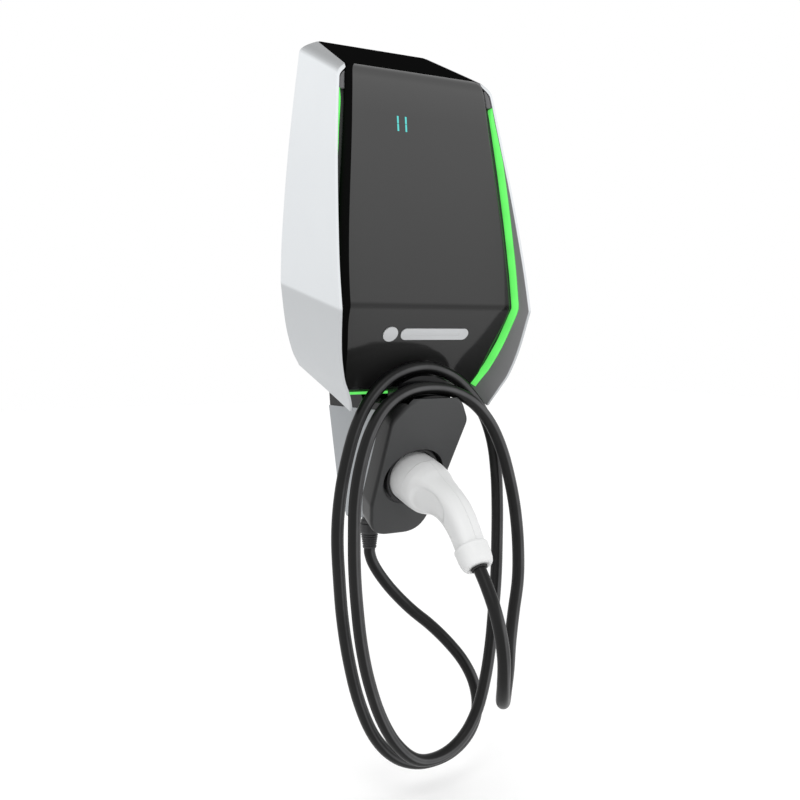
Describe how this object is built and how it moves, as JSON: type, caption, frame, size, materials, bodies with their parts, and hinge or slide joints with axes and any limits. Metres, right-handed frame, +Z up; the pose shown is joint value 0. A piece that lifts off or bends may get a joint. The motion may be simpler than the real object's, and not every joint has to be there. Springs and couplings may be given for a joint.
{
  "type": "wall-mounted ev charger",
  "caption": "Wall-mounted electric vehicle charger with lit front panel, connector dock below and a tethered cable looped over a saddle.",
  "frame": {"origin": "centre of the four wall screw holes, on the wall plane", "axes": "+Z up, +Y into the wall, +X to the right seen from the front"},
  "size_m": [0.2424, 0.2738, 0.8352],
  "materials": {
    "bracket_steel": "zinc plated",
    "housing_plastic": "moulded graphite plastic",
    "shell_white": "satin white coating",
    "top_black": "high gloss black",
    "panel_gloss": "high gloss dark front",
    "frame_black": "moulded carrier",
    "gasket_rubber": "foamed seal",
    "guide_green": "diffuse light guide, lit green",
    "cap_grey": "satin grey",
    "circuit_board": "solder mask",
    "digit_cyan": "lit display segments",
    "badge_grey": "satin metallic",
    "component_dark": "component housings",
    "capacitor_sleeve": "sleeved cans",
    "screw_steel": "zinc plated",
    "terminal_grey": "terminal housings",
    "device_white": "moulded device housing",
    "selector_blue": "switch base",
    "knob_white": "moulded knob",
    "button_red": "moulded button",
    "gland_black": "polyamide",
    "saddle_black": "satin black",
    "neck_grey": "satin light grey",
    "bezel_graphite": "fine satin texture",
    "cup_black": "moulded cup",
    "cable_jacket": "satin cable jacket",
    "connector_white": "satin white",
    "insert_black": "contact carrier",
    "contact_plated": "plated contacts"
  },
  "bodies": {
    "charger": {"wall_bracket": "bracket_steel", "rear_housing": "housing_plastic", "side_shell_left": "shell_white", "side_shell_right": "shell_white", "top_cover": "top_black", "front_frame": "frame_black", "front_panel": "panel_gloss", "panel_gasket": "gasket_rubber", "light_guide_left": "guide_green", "light_guide_right": "guide_green", "light_guide_bottom": "guide_green", "guide_caps": "cap_grey", "led_strips": "circuit_board", "display_board": "circuit_board", "display_digits": "digit_cyan", "badge": "badge_grey", "reader_board": "circuit_board", "main_board": "circuit_board", "board_relays": "component_dark", "board_capacitors": "capacitor_sleeve", "power_module": "component_dark", "board_screws": "screw_steel", "selector_base": "selector_blue", "button_base": "component_dark", "din_rail": "bracket_steel", "contactor": "device_white", "terminal_block": "terminal_grey", "terminal_screws": "screw_steel", "fault_sensor": "component_dark", "supply_gland": "gland_black", "bracket_screws": "screw_steel", "cover_screws": "screw_steel", "neck_collar": "saddle_black", "cable_saddle": "saddle_black", "neck_shell": "neck_grey", "dock_bezel": "bezel_graphite", "dock_cup": "cup_black", "dock_screws": "screw_steel", "output_gland": "gland_black", "output_gland_nut": "gland_black", "inner_lead": "cable_jacket", "cable_main": "cable_jacket"},
    "connector": {"connector_barrel": "connector_white", "connector_insert": "insert_black", "connector_contacts": "contact_plated", "connector_shell_left": "connector_white", "connector_shell_right": "connector_white", "connector_screws": "screw_steel", "connector_collar": "connector_white", "connector_seal": "gasket_rubber", "cable_tail": "cable_jacket"},
    "selector_knob": {"current_selector": "knob_white"},
    "button_cap": {"reset_button": "button_red"}
  },
  "joints": [
    {"name": "connector_slide", "type": "slide", "parent": "charger", "child": "connector", "axis": [0, -0.9659, -0.2588], "range_m": [0, 0.06]},
    {"name": "selector_turn", "type": "hinge", "parent": "charger", "child": "selector_knob", "pos_m": [0.03, -0.0196, 0.015], "axis": [0, -1, 0], "range_deg": [0, 270]},
    {"name": "button_press", "type": "slide", "parent": "charger", "child": "button_cap", "axis": [0, 1, 0], "range_m": [0, 0.001], "stiffness_N_per_m": 800, "springref_m": -0.001}
  ]
}
